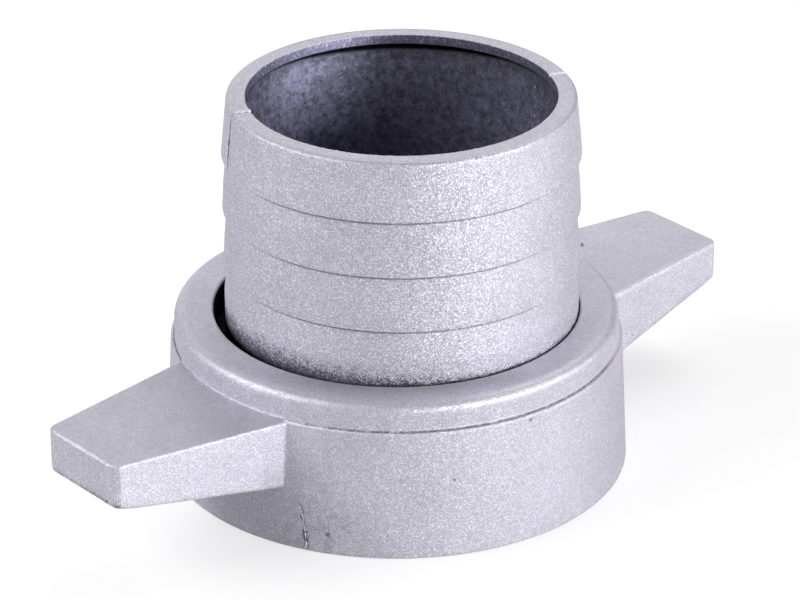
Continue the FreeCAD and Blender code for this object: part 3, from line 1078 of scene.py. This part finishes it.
# The long pit on the right wing and the chips at the left wing's toe, in millimetres
WING_PITS = (
    ((40.2, 4.23, 18.6), 0.33), ((40.52, 4.61, 18.6), 0.36), ((40.84, 5.0, 18.6), 0.33),
    ((-56.2, -6.15, 12.9), 0.55), ((-56.5, -6.5, 13.3), 0.3), ((-56.5, -3.8, 13.5), 0.25),
)
# Middles of the wall's painted soft shade beside the left wing and of its darker blotchy patch, in
# millimetres
WALL_SHADE = (-32.5, -9, 4)
WALL_BLOTCH = (-28.5, -17.5, 3.5)


def paint_light_on_wing_faces(skin, sizes, eastward, on_wing):
    """Painted light and shade on the wings' near flanks and tops, a different amount for each wing.
    """
    _, northward, upward = parts(skin.tree, skin.normal)
    flank = skin.under(northward, -0.93, 0.03)
    top = skin.times(skin.over(upward, 0.95, 0.02),
                     skin.under(skin.height, sizes.ledge_height + 0.6 * MM, 0.1 * MM))
    for face, left, right in ((flank, 0.16, 0.06), (top, -0.1, 0.07)):
        gain = skin.times(face, on_wing, skin.ramp(eastward, -30 * MM, 30 * MM, left, right))
        skin.shade = skin.times(skin.shade, skin.maths("ADD", 1.0, gain))


def crack_foot(skin, outer):
    """The ragged crack beside the seam at the nut's foot, wider low down, darkened with painted
    shade.
    """
    off = skin.off_plane(NUT_AXIS, flash_sizes().nut_seam, 0.0, 0.155, 4 * MM, 0.25 * MM)
    width = skin.ramp(skin.height, 3.4 * MM, 4.6 * MM, 0.36 * MM, 0.14 * MM)
    crack = skin.under(skin.maths("SUBTRACT", off, width), 0.0, 0.06 * MM)
    ragged = skin.ramp(skin.noise(0.8 * MM), 0.4, 0.52)
    skin.dent(skin.times(crack, ragged, skin.under(skin.height, 7 * MM, 0.3 * MM), outer), 0.33)


def shade_and_blotch_nut(skin, sizes, radius, off_wings):
    """Painted shade on the wall beside the left wing, on the near part of the ring round the tail
    and low on the right side, and a darker blotchy patch on the wall.
    """
    shaded = skin.glide(skin.distance_to(WALL_SHADE), 4 * MM, 15 * MM, 1.0, 0.0)
    skin.darken(skin.times(shaded, off_wings), 0.82)
    blotched = skin.ramp(skin.distance_to(WALL_BLOTCH), 3 * MM, 8 * MM, 1.0, 0.0)
    dark_blotches = skin.ramp(skin.noise(1.6 * MM, 3.0), 0.5, 0.62)
    skin.darken(skin.times(blotched, dark_blotches), 0.82)
    # Painted shade on the near part of the ring round the tail.
    skin.darken(skin.times(skin.glide(skin.way_along(NEARWARD), 19 * MM, 27 * MM),
                           skin.under(radius, 29.2 * MM, 1.8 * MM),
                           skin.over(skin.height, NUT_HIGH.z - 0.4 * MM)), 0.62)
    # Painted shade low on the wall's right side, off the wings.
    skin.darken(skin.times(skin.ramp(skin.way_along(RIGHTWARD), 25 * MM, 32.5 * MM), off_wings,
                           skin.under(skin.height, sizes.ledge_height)), 0.92)


def nut_skin(sizes):
    """The nut's skin: blasted outside, with a few pits, chips and a darker blotchy patch, painted
    black shade in its hole, painted shade in its creases and hollows, and painted light on its
    wings.
    """
    skin = CastSkin("Blasted aluminium, nut", 1.03)
    radius = skin.radius_from(NUT_AXIS)
    eastward, northward, _ = parts(skin.tree, skin.place)
    from_middle = skin.maths("ABSOLUTE", eastward)
    outer = skin.over(radius, sizes.shoulder_radius - 0.3 * MM)
    uneven = skin.noise(0.7 * MM)
    # Painted shade: the hole round the tail painted black.
    skin.blacken(skin.times(skin.under(radius, sizes.hole_radius + 0.1 * MM, 0.03 * MM),
                            skin.under(skin.height, NUT_HIGH.z - sizes.hole_bevel, 0.1 * MM)),
                 finish().gap_shade_tone)
    ledge = sizes.ledge_height
    # Painted shade in the corner between the shoulder and the ledge.
    skin.darken(skin.times(skin.under(radius, sizes.shoulder_radius + 0.22 * MM, 0.05 * MM),
                           skin.within(skin.height, ledge - 0.1 * MM, ledge + 0.2 * MM),
                           outer, skin.ramp(uneven, 0.36, 0.5, 0.3, 1.0),
                           skin.over(skin.maths("ABSOLUTE", northward), 11.9 * MM, 0.3 * MM),
                           skin.under(eastward, 17 * MM, 3 * MM)), 0.4)
    paint_light_on_wing_faces(skin, sizes, eastward, skin.over(from_middle, 27 * MM, 0.5 * MM))
    skin.rub(skin.times(skin.over(radius, sizes.shoulder_radius - 1.6 * MM, 0.3 * MM),
                        skin.over(skin.height, NUT_HIGH.z - 1.5 * MM, 0.3 * MM)), 0.09)
    crack_foot(skin, outer)
    for degrees, up, size in WALL_PITS:
        turn = math.radians(degrees)
        out = wall_at(up * MM, sizes) / MM
        skin.pit((out * math.cos(turn), out * math.sin(turn), up), size)
    for centre, size in WING_PITS:
        skin.pit(centre, size)
    # Chips at the left wing's toe, darkened with painted shade.
    skin.dent(skin.times(skin.under(eastward, 0.9 * MM - sizes.wing_reach[LEFT], 0.2 * MM),
                         skin.under(skin.height, sizes.wing_end_foot[LEFT] + 0.7 * MM, 0.3 * MM),
                         skin.ramp(uneven, 0.45, 0.55)), 0.42)
    shade_and_blotch_nut(skin, sizes, radius, skin.under(from_middle, 33.9 * MM, 0.2 * MM))
    skin.scattered_pits(7 * MM, 0.3, skin.under(skin.height, ledge - 2 * MM))
    return skin.finished()


def moulded_rubber():
    """Plain moulded rubber."""
    material, tree, shader = new_material("Moulded rubber")
    place = add_node(tree, "ShaderNodeTexCoord").outputs["Object"]
    grain = noise(tree, place, 0.4 * MM, 3.0)
    colour = Vector(finish().rubber)
    mixed = colour_mix(tree, ramp(tree, grain, 0.3, 0.7), tuple(colour * 0.8), tuple(colour * 1.5))
    bump = add_node(tree, "ShaderNodeBump",
                    {"Height": grain, "Distance": 0.03 * MM, "Strength": 0.5})
    tree.links.new(mixed, shader.inputs["Base Color"])
    tree.links.new(bump.outputs[0], shader.inputs["Normal"])
    tree.links.new(ramp(tree, grain, 0.3, 0.7, 0.5, 0.68), shader.inputs["Roughness"])
    return material


def flash_lines(name, lines, seed, material):
    """Ragged flash along lines, each a list of places with the bead's relative thickness."""
    curve = bpy.data.curves.new(name, "CURVE")
    curve.dimensions = "3D"
    for line in lines:
        spline = curve.splines.new("POLY")
        spline.points.add(len(line) - 1)
        for point, (place, thickness) in zip(spline.points, line):
            point.co = (*place, 1.0)
            point.radius = thickness
    piece = bpy.data.objects.new(name, curve)
    bpy.context.scene.collection.objects.link(piece)
    sizes = flash_sizes()
    grow(piece, flash_tree(), thickness=sizes.thickness, lump=sizes.lump, seed=seed,
         finish=material)
    return settle(piece, name)


def about(axis, stops):
    """Places and bead thicknesses from stops of (turn in degrees, radius, height, thickness)."""
    line = []
    for degrees, radius, height, thickness in stops:
        turn = math.radians(degrees)
        place = (axis.x + radius * math.cos(turn), axis.y + radius * math.sin(turn), height)
        line.append((place, thickness))
    return line


def tail_flash(sizes):
    """The tail's flash: the die seam on both sides, the mouth's edge and the core's seam inside."""
    top = TAIL_HIGH.z
    seam = math.degrees(flash_sizes().tail_seam)
    core = math.degrees(flash_sizes().core_seam)
    valley = sizes.barb_radius - sizes.barb_depth
    barb_strengths = (0.5, 0.7, 2.0)
    core_lumps = ((3.9, 1.1), (5.6, 0.8), (6.9, 1.3), (8.5, 1.3))
    lines = []
    for turn in (seam, seam + 180):
        lines.append(about(TAIL_AXIS, [
            (turn, sizes.mouth_radius - 0.1 * MM, top - 0.1 * MM, 3.2),
            (turn, sizes.mouth_radius + 1.2 * MM, top, 2.6),
            (turn, sizes.rim_radius - 0.6 * MM, top - 0.05 * MM, 2.6),
            (turn, sizes.rim_radius - 0.1 * MM, top - 0.6 * MM, 2.2),
        ]))
        for barb, strength in zip(range(sizes.barb_count), barb_strengths):
            edge = TAIL_LOW.z + sizes.lowest_barb + barb * sizes.barb_pitch
            lines.append(about(TAIL_AXIS, [
                (turn, valley + 0.03 * MM, edge + sizes.barb_pitch - 0.5 * MM, 0.8 * strength),
                (turn, valley + 0.45 * MM, edge + sizes.barb_pitch / 2, strength),
                (turn, sizes.barb_radius, edge + 0.1 * MM, 1.1 * strength),
            ]))
        for down, size in core_lumps:
            lines.append(about(TAIL_AXIS, [
                (turn + core, sizes.bore_top, top - (down + 0.35) * MM, size),
                (turn + core, sizes.bore_top, top - down * MM, size),
            ]))
    lines.append(about(TAIL_AXIS, [
        (degrees, sizes.mouth_radius + 0.04 * MM, top - 0.06 * MM, 0.35)
        for degrees in range(0, 361, 3)
    ]))
    return lines


def wing_line(sizes, side, stops):
    """A line on the left wing or the right one.

    Each stop is (distance back from the end, share of the half width, share of the height,
    thickness), and the share of the half width is positive on the side that faces the camera.
    """
    edge_share = 0.29
    inset = edge_share * sizes.wing_edge_round[side]
    reach = sizes.wing_reach[side] - inset
    turn = sizes.wing_turn[side]
    outward = 1 if side == RIGHT else -1
    line = []
    for back, across, upward, thickness in stops:
        half = sizes.wing_end_half[side] + back * math.tan(sizes.wing_side_taper[side]) - inset
        top = sizes.wing_end_top[side] + back * math.tan(sizes.wing_top_taper[side]) - inset
        foot = sizes.wing_end_foot[side] - back * math.tan(sizes.wing_foot_taper[side])
        x = outward * (reach - back)
        y = -across * half
        place = (x * math.cos(turn) - y * math.sin(turn), x * math.sin(turn) + y * math.cos(turn),
                 foot + (top - foot) * upward)
        line.append((place, thickness))
    return line


def wing_flash(sizes):
    """Burrs along the wings' upper edges: the left end, the near edges and the far edges."""
    root = 25.5 * MM
    corner = sizes.wing_end_round * 0.3
    backs = (14 * MM, 16 * MM, 18 * MM, root)
    lines = [wing_line(sizes, LEFT, [
        (corner, -0.93, 0.99, 0.6), (0.0, -0.75, 0.99, 2.3), (0.0, 0.0, 0.99, 2.8),
        (0.0, 0.84, 0.99, 2.8), (corner, 0.955, 0.99, 1.6),
    ])]
    for side, near in ((LEFT, (0.9, 0.8, 0.8, 0.8)), (RIGHT, (1.6, 3.0, 1.4, 1.1))):
        near_stops = [(back, 1.0, 0.98, size) for back, size in zip(backs, near)]
        lines.append(wing_line(sizes, side, [(1.2 * MM, 1.0, 0.98, 0.8), *near_stops]))
        lines.append(wing_line(sizes, side, [(1.6 * MM, -1.0, 0.99, 0.4),
                                             (root, -1.0, 0.99, 0.25)]))
    return lines


def nut_flash(sizes):
    """The nut's flash: burrs along the wings, the die's joints at the foot, and the ledge's burr."""
    lines = wing_flash(sizes)
    seam = math.degrees(flash_sizes().nut_seam)

    def wall(degrees, up, thickness):
        """A stop on the wall, its height given in millimetres."""
        return (degrees, wall_at(up * MM, sizes), up * MM, thickness)

    for side, lean in ((0, 1), (180, -1)):
        turn = seam + side
        lines.append(about(NUT_AXIS, [wall(turn - 0.9 * lean, 6.9, 0.5), wall(turn, 4.0, 0.5)]))
        lines.append(about(NUT_AXIS, [wall(turn, 4.0, 0.7), wall(turn + 0.5 * lean, 2.2, 1.1),
                                      wall(turn + 0.9 * lean, 0.5, 1.15)]))
        lines.append(about(NUT_AXIS, [
            (155 + side, sizes.shoulder_radius, 20.6 * MM, 0.4),
            (156 + side, sizes.shoulder_radius, 19.2 * MM, 0.6),
        ]))
    lines.append(about(NUT_AXIS, [
        (159 + 3 * step, sizes.shoulder_radius + 0.14 * MM, sizes.ledge_height + 0.1 * MM, 0.6)
        for step in range(19)
    ]))
    lines.append(about(NUT_AXIS, [
        (201.5 + 2.5 * step, sizes.wall_radius - 0.06 * MM, sizes.ledge_height - 0.06 * MM,
         max(2.4 - 0.1 * step, 0.6)) for step in range(46)
    ]))
    return lines


class COUPLING_OT_hose_tail(bpy.types.Operator):
    """Make the barbed hose tail"""

    bl_idname = "coupling.hose_tail"
    bl_label = "Hose tail"

    def execute(self, context):
        sizes = tail_sizes()
        material = tail_skin(sizes)
        piece = turn_piece("barbed_tail", tail_corners(sizes), TAIL_AXIS, sizes.columns,
                           sizes.longest_step, material)
        piece = give_cast_skin(piece, 3.0, material)
        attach(piece, "tail")
        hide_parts("hose_tail")
        return {"FINISHED"}


class COUPLING_OT_wing_nut(bpy.types.Operator):
    """Make the union nut with its two wings"""

    bl_idname = "coupling.wing_nut"
    bl_label = "Wing nut"

    def execute(self, context):
        material = nut_skin(nut_sizes())
        piece = nut_mesh_object("winged_nut", nut_sizes())
        piece = give_cast_skin(piece, 8.0, material)
        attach(piece, "nut")
        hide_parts("wing_nut")
        return {"FINISHED"}


class COUPLING_OT_flash(bpy.types.Operator):
    """Make the ragged flash on the tail and on the nut"""

    bl_idname = "coupling.flash"
    bl_label = "Flash"

    def execute(self, context):
        # The flash: torn aluminium, lighter than the blasted skin, its lightness partly a painted
        # highlight on the ragged lines.
        material = CastSkin("Torn aluminium, flash", 1.35).finished(0.6)
        pieces = (("tail_flash", "tail", tail_flash(tail_sizes()), 5.0),
                  ("nut_flash", "nut", nut_flash(nut_sizes()), 11.0))
        for name, body, lines, seed in pieces:
            piece = flash_lines(name, lines, seed, material)
            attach(piece, body)
        return {"FINISHED"}


class COUPLING_OT_pipe_thread(bpy.types.Operator):
    """Make the female pipe thread inside the nut"""

    bl_idname = "coupling.pipe_thread"
    bl_label = "Pipe thread"

    def execute(self, context):
        sizes = context.scene.coupling_thread
        depth = sizes.root_radius - sizes.crest_radius
        flat_half = sizes.flat_share * sizes.pitch
        foot_half = sizes.foot_share * sizes.pitch
        section = [(sizes.buried, foot_half, 0), (-depth, flat_half, 0), (-depth, -flat_half, 0),
                   (sizes.buried, -foot_half, 0)]
        profile = new_mesh_object("thread_section", section, [(0, 1), (1, 2), (2, 3), (3, 0)])
        material = CastSkin("Cut aluminium, thread").finished(0.1)
        grow(profile, thread_tree(), root_radius=sizes.root_radius, pitch=sizes.pitch,
             turns=sizes.turns, foot=sizes.foot, finish=material)
        piece = settle(profile, "thread_ridge")
        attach(piece, "nut")
        return {"FINISHED"}


class COUPLING_OT_sealing_washer(bpy.types.Operator):
    """Make the rubber washer under the flange"""

    bl_idname = "coupling.sealing_washer"
    bl_label = "Sealing washer"

    def execute(self, context):
        outer = (WASHER_HIGH.x - WASHER_LOW.x) / 2
        inner = tail_sizes().bore_foot + 0.4 * MM
        columns, longest, rounding = 256, 0.8 * MM, 0.2 * MM
        corners = [(inner, WASHER_LOW.z, rounding), (outer, WASHER_LOW.z, rounding),
                   (outer, WASHER_HIGH.z, rounding), (inner, WASHER_HIGH.z, rounding)]
        piece = turn_piece("rubber_washer", corners, NUT_AXIS, columns, longest, moulded_rubber())
        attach(piece, "nut")
        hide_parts("sealing_washer")
        return {"FINISHED"}


class COUPLING_OT_studio(bpy.types.Operator):
    """Make the floor, the lamps and the camera"""

    bl_idname = "coupling.studio"
    bl_label = "Studio"

    def execute(self, context):
        settings = context.scene.coupling_studio
        lay_floor(settings)
        light_room(settings)
        place_camera(context.scene, settings)
        context.scene.view_settings.view_transform = "Standard"
        return {"FINISHED"}


def lay_floor(settings):
    """A pale floor that looks white and keeps the object's shadow."""
    half = 3.0
    drop = -0.05 * MM
    corners = [(-half, -half, drop), (half, -half, drop), (half, half, drop), (-half, half, drop)]
    floor = new_mesh_object("floor", corners, (), [(0, 1, 2, 3)])
    material, tree, shader = new_material("Pale floor", roughness=0.9)
    shader.inputs["Base Color"].default_value = (*settings.floor, 1.0)
    shader.inputs["Specular IOR Level"].default_value = 0.0
    rays = add_node(tree, "ShaderNodeLightPath").outputs
    seen = maths(tree, "MULTIPLY", rays["Is Camera Ray"], settings.floor_glow)
    mirrored = maths(tree, "MULTIPLY", rays["Is Glossy Ray"], settings.floor_sheen)
    glow = add_node(tree, "ShaderNodeEmission",
                    {"Strength": maths(tree, "MAXIMUM", seen, mirrored)})
    both = add_node(tree, "ShaderNodeAddShader", {0: shader.outputs[0], 1: glow.outputs[0]})
    tree.links.new(both.outputs[0], tree.nodes["Material Output"].inputs["Surface"])
    floor.data.materials.append(material)


def place_camera(scene, settings):
    """The camera, at the photograph's viewing angle."""
    turn, tilt, roll = settings.view_turn, settings.view_tilt, settings.view_roll
    forward = Vector((math.cos(tilt) * math.sin(turn), math.cos(tilt) * math.cos(turn),
                      -math.sin(tilt)))
    level = Vector((math.cos(turn), -math.sin(turn), 0.0))
    steep = level.cross(forward)
    right = level * math.cos(roll) + steep * math.sin(roll)
    up = steep * math.cos(roll) - level * math.sin(roll)
    target = level * settings.view_right + Vector((0, 0, settings.view_height))
    camera = bpy.data.objects.new("camera", bpy.data.cameras.new("camera"))
    camera.data.lens = settings.focal_length
    camera.data.sensor_width = 36.0
    camera.data.clip_start = 0.01
    turned = Matrix((right, up, -forward)).transposed().to_4x4()
    camera.matrix_world = Matrix.Translation(target - forward * settings.view_distance) @ turned
    scene.collection.objects.link(camera)
    scene.camera = camera


# Lamps: turn from the camera towards its right, height above the horizon, width and height as seen
# from the object, all in degrees, and strength
LAMPS = (
    ("key", 45, 11, 44, 22, 7.4),
    ("right", 82, 11, 36, 22, 4.3),
    ("back", 190, 12, 50, 22, 1.2),
    ("left", 278, 33, 44, 26, 4.7),
    ("front_left", 320, 33, 40, 26, 1.2),
    ("low_left", 285, 11, 44, 22, 1.5),
    ("high", 140, 57, 44, 26, 2.7),
    ("high_back", 200, 45, 50, 26, 1.1),
)


def add_lamp(settings, name, turn, tilt, width, height, strength):
    """A soft rectangular lamp that faces the object and stays out of the picture."""
    distance = 1.3
    middle = Vector((0, 0, 25 * MM))
    around = settings.view_turn + math.pi - math.radians(turn)
    tilt = math.radians(tilt)
    towards = Vector((math.cos(tilt) * math.sin(around), math.cos(tilt) * math.cos(around),
                      math.sin(tilt)))
    light = bpy.data.lights.new(name, "AREA")
    light.shape = "RECTANGLE"
    light.size = 2 * distance * math.tan(math.radians(width / 2))
    light.size_y = 2 * distance * math.tan(math.radians(height / 2))
    light.energy = strength * light.size * light.size_y * math.pi
    lamp = bpy.data.objects.new(name, light)
    facing = towards.to_track_quat("Z", "Y").to_matrix().to_4x4()
    lamp.matrix_world = Matrix.Translation(middle + towards * distance) @ facing
    lamp.visible_camera = False
    bpy.context.scene.collection.objects.link(lamp)


def light_room(settings):
    """Soft lamps round the object, and a world that looks white and gives a weak even light."""
    for lamp in LAMPS:
        add_lamp(settings, *lamp)
    world = bpy.data.worlds.new("Studio")
    bpy.context.scene.world = world
    world.use_nodes = True
    tree = world.node_tree
    background = tree.nodes["Background"]
    background.inputs["Color"].default_value = (1.0, 1.0, 1.0, 1.0)
    rays = add_node(tree, "ShaderNodeLightPath").outputs
    strength = ramp(tree, rays["Is Camera Ray"], 0.0, 1.0, settings.world_light, 1.0)
    tree.links.new(strength, background.inputs["Strength"])


SETTINGS = (
    ("coupling_tail", HoseTailSizes),
    ("coupling_nut", WingNutSizes),
    ("coupling_thread", ThreadSizes),
    ("coupling_flash", FlashSizes),
    ("coupling_finish", FinishColours),
    ("coupling_studio", StudioSettings),
)
OPERATORS = (
    COUPLING_OT_hose_tail,
    COUPLING_OT_wing_nut,
    COUPLING_OT_flash,
    COUPLING_OT_pipe_thread,
    COUPLING_OT_sealing_washer,
    COUPLING_OT_studio,
)


class COUPLING_PT_sidebar(bpy.types.Panel):
    """The coupling's pieces, in the order that they are made"""

    bl_idname = "COUPLING_PT_sidebar"
    bl_label = "Hose coupling"
    bl_space_type = "VIEW_3D"
    bl_region_type = "UI"
    bl_category = "Coupling"

    def draw(self, context):
        for operator in OPERATORS:
            self.layout.operator(operator.bl_idname)


def register():
    """Add the settings, the operators and the sidebar."""
    for name, group in SETTINGS:
        bpy.utils.register_class(group)
        setattr(bpy.types.Scene, name, PointerProperty(type=group))
    for operator in OPERATORS:
        bpy.utils.register_class(operator)
    bpy.utils.register_class(COUPLING_PT_sidebar)


def unregister():
    """Take them away again."""
    bpy.utils.unregister_class(COUPLING_PT_sidebar)
    for operator in reversed(OPERATORS):
        bpy.utils.unregister_class(operator)
    for name, group in reversed(SETTINGS):
        delattr(bpy.types.Scene, name)
        bpy.utils.unregister_class(group)


def main():
    """Make the coupling and its studio."""
    register()
    bpy.ops.coupling.hose_tail()
    bpy.ops.coupling.wing_nut()
    bpy.ops.coupling.flash()
    bpy.ops.coupling.pipe_thread()
    bpy.ops.coupling.sealing_washer()
    bpy.ops.coupling.studio()


if __name__ == "__main__":
    main()
